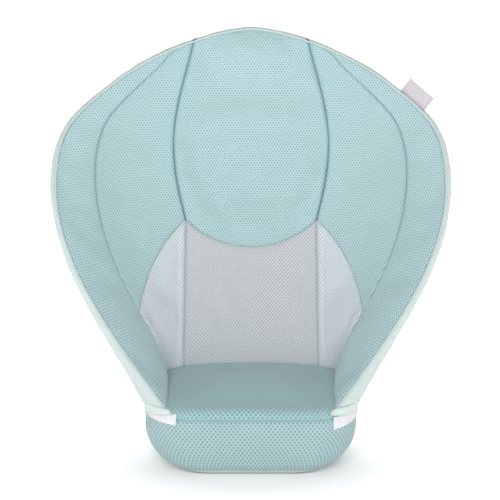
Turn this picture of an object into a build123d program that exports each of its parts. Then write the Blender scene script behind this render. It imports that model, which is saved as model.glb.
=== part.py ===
from build123d import *
import os
from math import exp, pi, sin, sqrt

os.makedirs("parts", exist_ok=True)

# Baby bath seat in millimetres, +Z up, the baby faces -Y.
# The origin is the middle of the seat's flat underside.
# A padded shell leans back from a seat cushion and folds back about a sewn hinge.

# Seat cushion
seat_half_width = 107.0
seat_front = 102.0
seat_rear = 78.0
seat_height = 69.0
seat_corner = 46.0
side_under_round = 45.0
front_under_round = 26.0
rear_under_round = 14.0
side_top_round = 7.0
front_top_round = 20.0
rear_top_round = 5.0
seat_cover = 4.0
top_seam_drop = 15.0
base_seam_height = 5.0
seat_crown = 5.0
crown_side_gap = 8.0
crown_front_gap = 10.0
crown_rear_gap = 54.0
crown_corner = 34.0
crown_slope = 46.0

# Shell: its rim runs from two front feet up and back to the top
shell_rise = 338.5
foot_inset = 29.0
foot_setback = 12.0
rim_back_length = 295.0
shell_half_width = 204.0
widest_level = 0.6
back_setback = 20.0
back_lean_length = 147.0
back_hollow = 10.0

dome_bluntness = 2.1
dome_fullness = 0.64

# Seams of the front cover
centre_seam_inset = 36.0
centre_seam_belly = 14.0
arc_seam_level = 0.42
belly_length = 0.46
corner_inset = 16.0
rim_seam_share = 0.82
rim_seam_ends = 0.975
rim_seam_closing = 0.1
corner_blend = 12
rim_seam_depth = 0.64
foot_seam_drop = 0.25
foot_seam_fade = 0.17
centre_bend = 2.2
foot_bend = 1.9
foot_bend_fade = 0.12
arc_seam_drop = 28.0
hip_seam_mid = (29.0, 31.0)
hip_seam_end = (46.0, 82.0)

# Layers of the shell, measured through the padding
shell_thick = 20.0
rim_thick = 18.0
foot_extra = 12.0
foot_extra_fade = 0.1
front_cover = 4.0
rear_cover = 2.5
layer_gap = 0.3
foot_gap = 0.3
side_panel_hollow = 0.065
corner_hollow = 0.135
corner_hollow_fade = 0.15
rim_panel_crown = 0.045
centre_hollow = 1.5
centre_hollow_share = 0.5

# Trim
band_thick = 2.5
trim_gap = 0.6
piping_width = 3.2
piping_height = 1.8
tab_thick = 1.5
tab_clear = 0.4
tab_height = 12.0
tab_rear_end = 46.0
tab_margin = 10.0
label_level = 0.80
label_length = 33.0
label_reach = 17.0
label_thick = 1.8
label_inset = 0.3
label_seat = 2.4
hinge_bead = 3.6
hinge_length = 124.0


# Places of the shell's foot on the seat
foot_half_width = seat_half_width - foot_inset
foot_front = seat_front - foot_setback
back_foot = seat_rear - back_setback
centre_seam_half = seat_half_width - centre_seam_inset
corner_half = seat_half_width - corner_inset
top_seam_height = seat_height - top_seam_drop


# Measures of the shell at a level: 0 at the seat, 1 at the top
def height_at(level):
    return seat_height + foot_gap + shell_rise * level


def rim_half(level):
    """Half width of the rim: a sine flank below its widest level, a dome above."""
    if level <= widest_level:
        swing = sin(pi / 2 * level / widest_level)
        return foot_half_width + (shell_half_width - foot_half_width) * swing
    share = (level - widest_level) / (1 - widest_level)
    return shell_half_width * (1 - min(share, 1.0) ** dome_bluntness) ** dome_fullness


def back_y(level):
    return back_foot + back_lean_length * level + back_hollow * sin(pi * level)


def rim_y(level):
    return rim_back_length * level - foot_front


def closing(level):
    """0 below the top, 1 where the rim seam has met the rim."""
    share = 1 - (rim_seam_ends - level) / rim_seam_closing
    share = min(max(share, 0.0), 1.0)
    return share * share * (3 - 2 * share)


def rim_seam_back(level):
    """Depth of the rim seam in front of the back, as a share of the shell's depth."""
    share = rim_seam_depth - foot_seam_drop * exp(-level / foot_seam_fade)
    return share + (1 - share) * closing(level)


def centre_seam(level):
    """Half distance between the two long seams beside the head and the back."""
    if level <= arc_seam_level:
        return centre_seam_half
    swing = sin(pi * (level - arc_seam_level) / belly_length)
    return min(centre_seam_half + centre_seam_belly * swing, rim_half(level))


def rim_seam(level):
    """Half distance between the seams that run beside the rim."""
    share = rim_seam_share + (1 - rim_seam_share) * closing(level)
    wide = share * rim_half(level)
    if level > arc_seam_level:
        return wide
    return (wide ** corner_blend + corner_half ** corner_blend) ** (1 / corner_blend)


def seam_points(level):
    """Front-face points of the centre seam, the rim seam and the rim, right side."""
    deep = back_y(level) - rim_y(level)
    x1 = centre_seam(level)
    x2 = rim_seam(level)
    bend = centre_bend + foot_bend * exp(-level / foot_bend_fade)
    y2 = back_y(level) - deep * rim_seam_back(level)
    y1 = back_y(level) - deep * rim_seam_back(level) * (x1 / x2) ** bend
    return (x1, y1), (x2, y2), (rim_half(level), rim_y(level))


def rim_normal(level):
    """Direction through the padding at the rim, in the level plane."""
    deep = back_y(level) - rim_y(level)
    share = rim_seam_depth - foot_seam_drop * exp(-level / foot_seam_fade)
    along = (1 - rim_seam_share) * rim_half(level)
    across = deep * (1 - share)
    size = sqrt(along ** 2 + across ** 2)
    return (across / size, along / size)


def normal_between(start, end):
    run = (end[0] - start[0], end[1] - start[1])
    size = sqrt(run[0] ** 2 + run[1] ** 2)
    return (-run[1] / size, run[0] / size)


def shifted(point, direction, distance):
    return (point[0] + direction[0] * distance, point[1] + direction[1] * distance)


def middle(start, end, bulge):
    """Middle point of an arc that stands off its chord by a share of its length."""
    centre = ((start[0] + end[0]) / 2, (start[1] + end[1]) / 2)
    length = sqrt((end[0] - start[0]) ** 2 + (end[1] - start[1]) ** 2)
    return shifted(centre, normal_between(start, end), bulge * length)


def rim_depth(level):
    return rim_thick + foot_extra * exp(-level / foot_extra_fade)


def section_points(level):
    """Seam and rim points with their directions through the padding."""
    p1, p2, p3 = seam_points(level)
    top = (0.0, p1[1] + centre_bulge(level))
    n3 = rim_normal(level)
    if p1[0] >= p3[0]:
        return (p3, n3), (p3, n3), (p3, n3)
    n1 = normal_between(top, p2)
    n2 = normal_between(p1, p3)
    return (p1, n1), (p2, n2), (p3, n3)


def centre_bulge(level):
    p1 = seam_points(level)[0]
    return centre_hollow_share * (back_y(level) - p1[1]) + centre_hollow


def panel_hollow(level):
    """How far the side panel stands behind its chord, as a share of its width."""
    return side_panel_hollow + corner_hollow * exp(-level / corner_hollow_fade)


# Edges and wires in the plane of one level
def at_level(point, level):
    return Vector(point[0], point[1], height_at(level))


def arc(start, mid, end, level):
    return Edge.make_three_point_arc(at_level(start, level), at_level(mid, level),
                                     at_level(end, level))


def line(start, end, level):
    return Edge.make_line(at_level(start, level), at_level(end, level))


def centre_wire(level, inner, outer):
    """Closed section of the centre column between two depths."""
    (p1, n1) = section_points(level)[0]
    bulge = centre_bulge(level)
    near = shifted(p1, n1, inner)
    far = shifted(p1, n1, outer)
    near_mid = (0.0, p1[1] + bulge + inner)
    far_mid = (0.0, p1[1] + bulge + outer)
    near_left = (-near[0], near[1])
    far_left = (-far[0], far[1])
    return Wire([arc(near_left, near_mid, near, level), line(near, far, level),
                 arc(far, far_mid, far_left, level), line(far_left, near_left, level)])


def side_wire(level, inner, outer):
    """Closed section of the cover between the centre seam and the rim seam."""
    (p1, n1), (p2, n2) = section_points(level)[:2]
    mid = middle(p1, p2, panel_hollow(level))
    across = normal_between(p1, p2)
    a1, b1 = shifted(p1, n1, inner), shifted(p1, n1, outer)
    a2, b2 = shifted(p2, n2, inner), shifted(p2, n2, outer)
    am, bm = shifted(mid, across, inner), shifted(mid, across, outer)
    return Wire([arc(a1, am, a2, level), line(a2, b2, level),
                 arc(b2, bm, b1, level), line(b1, a1, level)])


def rim_wire(level, inner, outer):
    """Closed section of the cover between the rim seam and the rim."""
    (p2, n2), (p3, n3) = section_points(level)[1:]
    mid = middle(p2, p3, -rim_panel_crown)
    across = normal_between(p2, p3)
    a2, b2 = shifted(p2, n2, inner), shifted(p2, n2, outer)
    a3, b3 = shifted(p3, n3, inner), shifted(p3, n3, outer)
    am, bm = shifted(mid, across, inner), shifted(mid, across, outer)
    return Wire([arc(a2, am, a3, level), line(a3, b3, level),
                 arc(b3, bm, b2, level), line(b2, a2, level)])


def wing_arc_points(level, from_back):
    """Start, middle and end of the wing's rear face, drawn in by from_back."""
    (p1, n1), (p2, n2), (p3, n3) = section_points(level)
    return (shifted(p1, n1, shell_thick - from_back),
            shifted(p2, n2, shell_thick - from_back),
            shifted(p3, n3, rim_depth(level) - from_back))


def wing_foam_wire(level):
    (p1, n1), (p2, n2), (p3, n3) = section_points(level)
    depth = front_cover + layer_gap
    a1 = shifted(p1, n1, depth)
    a2 = shifted(p2, n2, depth)
    a3 = shifted(p3, n3, depth)
    side_mid = shifted(middle(p1, p2, panel_hollow(level)), normal_between(p1, p2), depth)
    rim_mid = shifted(middle(p2, p3, -rim_panel_crown), normal_between(p2, p3), depth)
    b1, bm, b3 = wing_arc_points(level, rear_cover + layer_gap)
    return Wire([arc(a1, side_mid, a2, level), arc(a2, rim_mid, a3, level),
                 line(a3, b3, level), arc(b3, bm, b1, level), line(b1, a1, level)])


def wing_rear_wire(level):
    b1, bm, b3 = wing_arc_points(level, rear_cover)
    c1, cm, c3 = wing_arc_points(level, 0.0)
    return Wire([arc(b1, bm, b3, level), line(b3, c3, level),
                 arc(c3, cm, c1, level), line(c1, b1, level)])


# Levels at which the sections are drawn
low_levels = [0.0, 0.05, 0.1, 0.16, 0.24, 0.33, arc_seam_level, 0.5, 0.58, 0.66, 0.74, 0.81, 0.87]
side_levels = low_levels + [0.91, 0.94, 0.96]
cap_levels = [side_levels[-1], 0.968, 0.976, 0.984, 0.991, 0.996, 0.999]


def column(wire_at):
    return Solid.make_loft([wire_at(level) for level in side_levels])


def domed_column(wire_at):
    """Column that goes on above the side panels to the top of the rim."""
    cap = Solid.make_loft([wire_at(level) for level in cap_levels], ruled=True)
    return (column(wire_at) + cap).solid()


def mirrored(solid):
    return mirror(solid, about=Plane.YZ)


# Regions seen from the front that part one panel from the next
def front_region(edges):
    """Solid that runs front to back through the whole shell inside the given edges."""
    face = Face(Wire(edges))
    return Solid.extrude(face, Vector(0, 2 * (back_lean_length + rim_back_length), 0))


def front_point(x, z):
    return Vector(x, -rim_back_length, z)


def above_arc_seam():
    corner = height_at(arc_seam_level)
    far = shell_half_width
    top = height_at(1.2)
    left = front_point(-centre_seam_half, corner)
    right = front_point(centre_seam_half, corner)
    seam = Edge.make_three_point_arc(left, front_point(0, corner - arc_seam_drop), right)
    outline = [right, front_point(far, corner), front_point(far, top),
               front_point(-far, top), front_point(-far, corner), left]
    return front_region([seam] + [Edge.make_line(a, b) for a, b in zip(outline, outline[1:])])


def hip_region():
    corner_z = height_at(arc_seam_level)
    corner = front_point(centre_seam_half, corner_z)
    mid = front_point(centre_seam_half + hip_seam_mid[0], corner_z - hip_seam_mid[1])
    end = front_point(centre_seam_half + hip_seam_end[0], corner_z - hip_seam_end[1])
    seam = Edge.make_three_point_arc(corner, mid, end)
    outline = [end, front_point(shell_half_width, corner_z - hip_seam_end[1]),
               front_point(shell_half_width, 0), front_point(0, 0),
               front_point(0, corner_z), corner]
    return front_region([seam] + [Edge.make_line(a, b) for a, b in zip(outline, outline[1:])])


# Front cover
def centre_panels():
    cover = domed_column(lambda level: centre_wire(level, 0, front_cover))
    upper = above_arc_seam()
    return cover & upper, cover - upper


def side_panels():
    cover = column(lambda level: side_wire(level, 0, front_cover))
    hip = hip_region()
    return cover - hip, cover & hip


def rim_panel():
    return column(lambda level: rim_wire(level, 0, front_cover))


# Padding and rear cover
def back_foam():
    near = front_cover + layer_gap
    far = shell_thick - rear_cover - layer_gap
    return domed_column(lambda level: centre_wire(level, near, far))


def rear_centre():
    return domed_column(lambda level: centre_wire(level, shell_thick - rear_cover,
                                                  shell_thick))


def wing_foam():
    return column(wing_foam_wire)


def wing_rear():
    return column(wing_rear_wire)


# Rim trim
def rim_frame(level, side):
    """Front and rear points of the rim and the direction that points off it."""
    low, high = max(level - rim_step, 0.0), min(level + rim_step, 1.0)
    p3, n3 = section_points(level)[2]
    start = Vector(side * p3[0], p3[1], height_at(level))
    through = Vector(side * n3[0], n3[1], 0)
    run = Vector(side * (rim_half(high) - rim_half(low)), rim_y(high) - rim_y(low),
                 height_at(high) - height_at(low))
    off = run.cross(through).normalized()
    if off.dot(Vector(side, 0, 1)) < 0:
        off = off * -1
    return start, start + through * rim_depth(level), off


rim_step = 0.002
rim_stops = [0.0, 0.06, 0.14, 0.23, 0.33, 0.43, 0.53, 0.62, 0.7, 0.77, 0.83, 0.88, 0.92,
             0.955, 0.98, 0.993]


def rim_frames():
    right = [rim_frame(level, 1) for level in rim_stops]
    left = [rim_frame(level, -1) for level in reversed(rim_stops)]
    top_y = rim_y(1.0)
    crown = Vector(0, top_y, height_at(1.0))
    top = (crown, crown + Vector(0, rim_depth(1.0), 0), Vector(0, 0, 1))
    return right + [top] + left


def quad(corners):
    return Wire([Edge.make_line(a, b) for a, b in zip(corners, corners[1:] + corners[:1])])


def rim_band():
    wires = []
    for front, rear, off in rim_frames():
        low, high = off * trim_gap, off * (trim_gap + band_thick)
        wires.append(quad([front + low, rear + low, rear + high, front + high]))
    return Solid.make_loft(wires)


def rim_piping():
    """Thin welt on the front edge of the rim, over the seam of panel and band."""
    wires = []
    for front, rear, off in rim_frames():
        ahead = (front - rear).normalized()
        low = front + ahead * trim_gap
        high = front + ahead * (trim_gap + piping_height)
        wide = off * (trim_gap + band_thick)
        inner = off * (trim_gap + band_thick - piping_width)
        wires.append(quad([low + inner, low + wide, high + wide, high + inner]))
    return Solid.make_loft(wires)


def side_label():
    """Folded label that stands out of the rim's outer edge, high on the right."""
    share = label_length / shell_rise / 2
    ends = [rim_frame(label_level - share, 1), rim_frame(label_level + share, 1)]
    wires = []
    for front, rear, off in ends:
        root = front + (rear - front) * label_inset + off * (trim_gap + band_thick + label_seat)
        half = (rear - front).normalized() * (label_thick / 2)
        tip = root + off * label_reach
        wires.append(quad([root - half, root + half, tip + half, tip - half]))
    return Solid.make_loft(wires, ruled=True)


# Seat cushion
def rounded_in(height, low_round, top_round):
    """How far an upright face is drawn in at a height by its two rounded edges."""
    if height < low_round:
        return low_round - sqrt(low_round ** 2 - (low_round - height) ** 2)
    below_top = seat_height - height
    if below_top < top_round:
        return top_round - sqrt(top_round ** 2 - (top_round - below_top) ** 2)
    return 0.0


def rounded_plan(half, front, rear, corner, height):
    """Level outline with straight sides and four quarter arcs."""
    turn = corner * (1 - sqrt(0.5))
    right, left = half, -half
    corners = [((right, rear - corner), (right - turn, rear - turn), (right - corner, rear)),
               ((left + corner, rear), (left + turn, rear - turn), (left, rear - corner)),
               ((left, front + corner), (left + turn, front + turn), (left + corner, front)),
               ((right - corner, front), (right - turn, front + turn), (right, front + corner))]
    edges = []
    for place, points in enumerate(corners):
        start, mid, end = [Vector(x, y, height) for x, y in points]
        following = corners[(place + 1) % 4][0]
        edges.append(Edge.make_three_point_arc(start, mid, end))
        edges.append(Edge.make_line(end, Vector(following[0], following[1], height)))
    return Wire(edges)


seat_heights = [side_under_round * share for share in (0.0, 0.09, 0.25, 0.45, 0.7, 1.0)]
seat_heights += [seat_height - front_top_round * share for share in (0.75, 0.5, 0.25, 0.0)]


def seat_body(grow):
    """Seat cushion grown outward by a distance, or shrunk where it is negative."""
    wires = []
    for height in seat_heights:
        half = seat_half_width - rounded_in(height, side_under_round, side_top_round)
        front = rounded_in(height, front_under_round, front_top_round) - seat_front
        rear = seat_rear - rounded_in(height, rear_under_round, rear_top_round)
        corner = seat_corner * half / seat_half_width
        level = height / seat_height * (seat_height + 2 * grow) - grow
        wires.append(rounded_plan(half + grow, front - grow, rear + grow, corner, level))
    return Solid.make_loft(wires)


def slab(low, high):
    wide = 4 * seat_half_width
    return Pos(0, 0, (low + high) / 2) * Box(wide, wide, high - low)


def crown_pad():
    """Low dome that the baby sits on, inside the feet of the shell."""
    wires = []
    for share in (0.0, 0.35, 0.65, 0.88, 1.0):
        inset = crown_slope * (1 - sqrt(1 - share))
        height = seat_height - seat_cover / 2 + (seat_crown + seat_cover / 2) * share
        wires.append(rounded_plan(foot_half_width - crown_side_gap - inset,
                                  inset + crown_front_gap - foot_front,
                                  seat_rear - crown_rear_gap - inset,
                                  crown_corner - inset / 2, height))
    return Solid.make_loft(wires)


def seat_covers():
    cover = seat_body(0.0) - seat_body(-seat_cover)
    top = (cover & slab(top_seam_height, 2 * seat_height)) + crown_pad()
    border = cover & slab(base_seam_height, top_seam_height)
    base = cover & slab(-seat_height, base_seam_height)
    return top, border, base


def hook_tab():
    """White hook tape that wraps the seat's front corner under the shell's foot."""
    skin = seat_body(tab_clear + tab_thick) - seat_body(tab_clear)
    depth = tab_rear_end + tab_margin
    width = seat_half_width + tab_margin - foot_half_width
    corner_x = foot_half_width + width / 2
    corner_y = tab_margin + seat_front - depth
    region = Pos(corner_x, -corner_y - depth / 2, seat_height - tab_height / 2)
    return skin & (region * Box(width, depth, tab_height))


def hinge_line():
    """Place of the fold: behind the foot of the back, on the seat's rear ledge."""
    foot_y = seam_points(0.0)[0][1] + centre_bulge(0.0) + shell_thick
    radius = hinge_bead / 2
    lean = (back_lean_length + pi * back_hollow) / shell_rise * radius
    return foot_y + lean + 2 * layer_gap + radius, seat_height + layer_gap + radius


def hinge_binding():
    """Bound seam on the seat's rear ledge, the line that the shell folds about."""
    y, z = hinge_line()
    return Pos(0, y, z) * Cylinder(hinge_bead / 2, hinge_length, rotation=(0, 90, 0))


def save(name, shape):
    export_step(shape, f"parts/{name}.step")


head_panel, lumbar_panel = centre_panels()
inner_panel, hip_panel = side_panels()
save("head_panel", head_panel)
save("lumbar_panel", lumbar_panel)
save("back_foam", back_foam())
save("rear_cover_centre", rear_centre())
pairs = {"inner_panel": inner_panel, "hip_panel": hip_panel, "rim_panel": rim_panel(),
         "wing_foam": wing_foam(), "rear_cover": wing_rear(), "hook_tab": hook_tab()}
for name, shape in pairs.items():
    save(f"right_{name}", shape)
    save(f"left_{name}", mirrored(shape))
save("rim_band", rim_band())
save("rim_piping", rim_piping())
save("side_label", side_label())
seat_top, seat_border, seat_base = seat_covers()
save("seat_top_panel", seat_top)
save("seat_border", seat_border)
save("seat_base_panel", seat_base)
save("seat_foam", seat_body(-seat_cover - 2 * layer_gap))
save("hinge_binding", hinge_binding())
print("fold line y, z:", [round(value, 2) for value in hinge_line()])
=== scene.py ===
import math

import bpy
import numpy as np
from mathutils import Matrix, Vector


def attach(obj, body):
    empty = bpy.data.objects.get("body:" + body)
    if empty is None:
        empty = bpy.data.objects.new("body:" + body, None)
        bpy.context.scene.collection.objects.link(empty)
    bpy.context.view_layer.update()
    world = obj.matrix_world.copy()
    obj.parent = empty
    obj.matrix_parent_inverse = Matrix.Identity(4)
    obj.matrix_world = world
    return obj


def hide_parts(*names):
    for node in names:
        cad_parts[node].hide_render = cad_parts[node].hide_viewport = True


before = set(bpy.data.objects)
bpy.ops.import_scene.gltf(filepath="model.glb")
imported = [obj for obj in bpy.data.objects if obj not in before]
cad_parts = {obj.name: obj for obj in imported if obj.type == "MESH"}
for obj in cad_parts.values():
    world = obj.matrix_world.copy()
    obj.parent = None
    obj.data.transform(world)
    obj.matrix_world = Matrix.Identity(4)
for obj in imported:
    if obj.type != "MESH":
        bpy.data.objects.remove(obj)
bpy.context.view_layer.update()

mm = 0.001

# Sizes of the seat in millimetres; the front edges and the top seam follow the photograph
seat_half, seat_front, seat_rear, seat_high = 107.0, 102.0, 78.0, 69.0
seat_corner = 46.0
seat_cover = 3.6
side_rounds, front_rounds, rear_rounds = (45.0, 7.0), (15.0, 14.0), (14.0, 5.0)
top_seam_z, base_seam_z = 60.0, 5.0
crown_half, crown_front, crown_rear = 70.0, 80.0, 24.0
crown_corner, crown_slope, crown_rise = 34.0, 46.0, 7.0

# Sizes of the shell in millimetres; its shoulders are cut in a little from the solid model's
shell_base, shell_rise = 69.3, 338.5
foot_half, shell_half, widest = 80.0, 204.0, 0.6
shoulder_cut = 0.07
arc_level, arc_drop, tip_level = 0.42, 28.0, 0.967
centre_half, centre_belly = 71.0, 14.0
hip_seam = ((71.0, 211.5), (100.0, 180.5), (117.0, 129.5))
side_thick, foot_extra, rim_thick = 20.0, 12.0, 18.0
foot_overhang = 0.016
rim_turn = ([0, 0.07, 0.3, 0.5, 0.62, 0.73, 0.82, 1], [0.2, 0.25, 0.35, 0.4, 0.35, 0.55, 0.85, 0.85])
cover_depth, rear_depth = 3.7, 2.5
strip_width, lip_length = 34.0, 9.0
label_level, label_width, label_reach = 0.79, 35.0, 17.5

# Hook tapes in millimetres: side, inner end's x, top at the inner and outer end, height at both
hook_tapes = {
    "left": (-1, 74.0, 65.0, 57.5, 10.5, 1.5),
    "right": (1, 82.0, 61.5, 59.5, 13.0, 7.0),
}

# Colours from 0 to 255, set so that they look as in the photograph under the studio's light
mint_rgb, mint_hole_rgb = (163.5, 187.1, 190.5), (114.3, 151.3, 152.5)
border_rgb, border_hole_rgb = (151.0, 173.0, 176.0), (103.0, 138.0, 139.0)
# The seat top's colours are a darker copy of the border's: painted shade for the top lying in shadow
top_shaded_rgb, top_shaded_hole_rgb = (148.0, 175.0, 178.0), (100.0, 140.0, 142.0)
grey_rgb, grey_hole_rgb = (181.7, 184.9, 187.5), (141.0, 148.5, 154.0)
# The hips' colours are a lighter copy of the lumbar panel's grey: painted light on the hips
hip_lit_rgb, hip_lit_hole_rgb = (191.0, 199.0, 203.0), (151.0, 161.0, 167.0)
pale_rgb, welt_rgb = (183.7, 197.8, 196.1), (180.0, 198.0, 197.0)
tape_rgb, ribbon_rgb = (238.0, 237.0, 240.0), (190.0, 184.0, 188.0)

# Camera: what it looks at and its distance in metres, its height in degrees
camera_target, camera_distance, camera_rise = (0.0, 0.040, 0.1984), 1.9, 15.0

# Studio: place and size in metres, power in watts
sky_strength = 0.550
# The floor glows, less right before the seat: a painted shadow there
floor_glow_in_painted_shadow, floor_glow_far = 0.0, 0.8
lamps = {
    "front_high": ((-0.25, -2.5, 1.7), (1.8, 1.0), 45.47),
    "front_low": ((0.2, -2.8, 0.6), (1.8, 0.8), 24.63),
    "overhead": ((0.0, 0.1, 2.3), (1.8, 1.8), 0.00),
    "left_side": ((-2.2, -0.9, 1.0), (1.2, 1.2), 5.46),
    "right_side": ((2.2, -0.9, 1.0), (1.2, 1.2), 5.25),
}


# Shape of the shell, by level from 0 at the seat to 1 at the top
def rim_half(t):
    low = foot_half + (shell_half - foot_half) * np.sin(np.pi / 2 * np.minimum(t / widest, 1))
    share = np.clip((t - widest) / (1 - widest), 0, 1)
    s = np.clip((t - 0.71) / 0.15, 0, 1)
    high = shell_half * (1 - share ** 2.1) ** 0.64 * (1 - shoulder_cut * s * s * (3 - 2 * s))
    return np.where(t <= widest, low, high)


def back_y(t):
    return 58 + 147 * t + 10 * np.sin(np.pi * t)


def rim_y(t):
    return 295 * t - 90


def closing(t):
    s = np.clip(1 - (0.975 - t) / 0.1, 0, 1)
    return s * s * (3 - 2 * s)


def seam_share(t):
    return 0.64 - 0.25 * np.exp(-t / 0.17)


def centre_seam(t):
    swing = np.sin(np.pi * np.maximum(t - arc_level, 0) / 0.46)
    return np.minimum(centre_half + centre_belly * swing, rim_half(t))


def rim_seam(t):
    wide = (0.82 + 0.18 * closing(t)) * rim_half(t)
    low = (wide ** 12 + 91.0 ** 12) ** (1 / 12)
    return np.maximum(np.where(t > arc_level, wide, low), centre_seam(t))


def solid_rim_normal(t):
    deep = back_y(t) - rim_y(t)
    return unit(np.stack([deep * (1 - seam_share(t)), 0.18 * rim_half(t)], -1))


def rim_normal(t):
    """Direction through the padding at the rim, turned back as the photograph shows it."""
    across = solid_rim_normal(t)[..., 0] * (1 - np.interp(t, *rim_turn))
    return np.stack([across, np.sqrt(1 - across ** 2)], -1)


def rim_edge(t):
    """Half width of the rim's front edge, so that its rear edge stays where the solid's is."""
    turned = solid_rim_normal(t)[..., 0] - rim_normal(t)[..., 0]
    return rim_half(t) + turned * rim_depth(t) * np.clip((tip_level - t) / 0.1, 0, 1)


def seam_points(t):
    """Centre seam, rim seam and rim at a level, as x, y pairs of the right side."""
    deep = back_y(t) - rim_y(t)
    share = seam_share(t) + (1 - seam_share(t)) * closing(t)
    x1, x2, x3 = centre_seam(t), rim_seam(t), rim_edge(t)
    bend = 2.2 + 1.9 * np.exp(-t / 0.12)
    y2 = back_y(t) - deep * share
    y1 = back_y(t) - deep * share * (x1 / np.maximum(x2, 1e-6)) ** bend
    return np.stack([x1, y1], -1), np.stack([x2, y2], -1), np.stack([x3, rim_y(t)], -1)


def unit(v):
    return v / np.maximum(np.linalg.norm(v, axis=-1, keepdims=True), 1e-9)


def normal_between(a, b):
    run = b - a
    return unit(np.stack([-run[..., 1], run[..., 0]], -1))


def centre_bulge(t):
    return 0.5 * (back_y(t) - seam_points(t)[0][..., 1]) + 1.5


def seam_normals(t):
    p1, p2, p3 = seam_points(t)
    n3 = rim_normal(t)
    top = np.stack([0 * t, p1[..., 1] + centre_bulge(t)], -1)
    fade = np.clip((tip_level - t) / 0.03, 0, 1)[..., None]
    n1 = unit(n3 + (normal_between(top, p2) - n3) * fade)
    n2 = unit(n3 + (normal_between(p1, p3) - n3) * fade)
    return n1, n2, n3


def rim_depth(t):
    return rim_thick + foot_extra * np.exp(-t / 0.1)


def bowed(a, b, mid, u):
    """Point on the shallow arc from a through mid to b."""
    u = u[..., None]
    return a + (b - a) * u + 4 * u * (1 - u) * (mid - (a + b) / 2)


def shell_point(part, u, t, depth):
    """Point of the shell: u runs across the part and depth goes from front to rear."""
    (p1, p2, p3), (n1, n2, n3) = seam_points(t), seam_normals(t)
    d = (depth + 0 * t)[..., None]
    if part == "centre":
        near = p1 + n1 * d
        x = u * near[..., 0]
        y = near[..., 1] + (centre_bulge(t) + d[..., 0] * (1 - n1[..., 1])) * (1 - u * u)
        flat = np.stack([x, y], -1)
    elif part == "side":
        bulge = 0.065 + 0.135 * np.exp(-t / 0.15)
        across = normal_between(p1, p2)
        width = np.linalg.norm(p2 - p1, axis=-1, keepdims=True)
        mid = (p1 + p2) / 2 + across * (bulge[..., None] * width + d)
        flat = bowed(p1 + n1 * d, p2 + n2 * d, mid, u)
    elif part == "rim":
        across = normal_between(p2, p3)
        width = np.linalg.norm(p3 - p2, axis=-1, keepdims=True)
        mid = (p2 + p3) / 2 + across * (d - 0.045 * width)
        flat = bowed(p2 + n2 * d, p3 + n3 * d, mid, u)
    else:
        a, b, c = p1 + n1 * d, p2 + n2 * d, p3 + n3 * (rim_depth(t)[..., None] + d - side_thick)
        la, lb = np.linalg.norm(b - a, axis=-1), np.linalg.norm(c - b, axis=-1)
        m = (la / np.maximum(la + lb, 1e-6))[..., None]
        m = np.clip(m, 0.2, 0.8)
        pull = (b - a * (1 - m) - c * m) / (m * (1 - m))
        u = u[..., None]
        flat = a * (1 - u) + c * u + pull * u * (1 - u)
    return np.concatenate([flat, (shell_base + shell_rise * t)[..., None]], -1)


# Grids and meshes
def eased(count, sharp=1.0):
    """Steps from 0 to 1 that are finer near both ends."""
    s = np.linspace(0, 1, count)
    return s + (0.5 - 0.5 * np.cos(np.pi * s) - s) * sharp


def along(points, axis):
    """Length run from the first point, along one axis of a grid."""
    step = np.linalg.norm(np.diff(points, axis=axis), axis=-1)
    pad = [(0, 0), (0, 0)]
    pad[axis] = (1, 0)
    return np.pad(np.cumsum(step, axis=axis), pad)


def run_along(points):
    """Length run from the first point, along a line of points."""
    return np.concatenate([[0], np.cumsum(np.linalg.norm(np.diff(points, axis=0), axis=1))])


def grid_normals(points):
    du = np.gradient(points, axis=0)
    dv = np.gradient(points, axis=1)
    return unit(np.cross(du, dv))


def edge_runs(points):
    """Length from each grid point to the four edges of its panel."""
    across, up = along(points, 0), along(points, 1)
    return across, across[-1:] - across, up, up[:, -1:] - up


def least(runs, blend=2.5):
    """Smooth least of several lengths."""
    total = sum(np.exp(-run / blend) for run in runs)
    return np.maximum(-blend * np.log(np.maximum(total, 1e-12)), 0)


def edge_distance(points):
    return least(edge_runs(points))


def crease_painted_shade(gap, mark=1.0):
    """How strongly painted shade darkens the cloth this far from a seam."""
    return mark * np.exp(-(gap / 2.0) ** 1.5)


rng = np.random.default_rng(7)


def waves(points, size, count=9):
    """Smooth seeded unevenness of about unit height with waves of about a given size."""
    turn = rng.normal(size=(count, 3))
    turn = unit(turn) / size * 2 * np.pi * rng.uniform(0.6, 1.4, (count, 1))
    phase = rng.uniform(0, 2 * np.pi, count)
    return np.sin(points @ turn.T + phase).sum(-1) / math.sqrt(count / 2)


def dress(piece, node, body):
    """Lets the piece stand in for its solid, which it hides, and puts it on its body."""
    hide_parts(node)
    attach(piece, body)


def new_piece(name, verts, faces, material, uv=None, shade=None):
    data = bpy.data.meshes.new(name)
    data.from_pydata([tuple(v) for v in np.asarray(verts) * mm], [], faces)
    data.update()
    data.shade_smooth()
    if uv is not None:
        layer = data.uv_layers.new(name="weave")
        index = np.zeros(len(data.loops), np.int32)
        data.loops.foreach_get("vertex_index", index)
        layer.data.foreach_set("uv", (np.asarray(uv)[index]).astype(np.float32).ravel())
    if shade is not None:
        held = data.attributes.new("seam_shade", "FLOAT", "POINT")
        held.data.foreach_set("value", np.asarray(shade, np.float32))
    data.materials.append(material)
    piece = bpy.data.objects.new(name, data)
    bpy.context.collection.objects.link(piece)
    return piece


def grid_faces(nu, nv, start=0, flip=False):
    i, j = np.meshgrid(np.arange(nu - 1), np.arange(nv - 1), indexing="ij")
    a = start + i * nv + j
    quad = np.stack([a, a + nv, a + nv + 1, a + 1], -1).reshape(-1, 4)
    return (quad[:, ::-1] if flip else quad).tolist()


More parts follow.
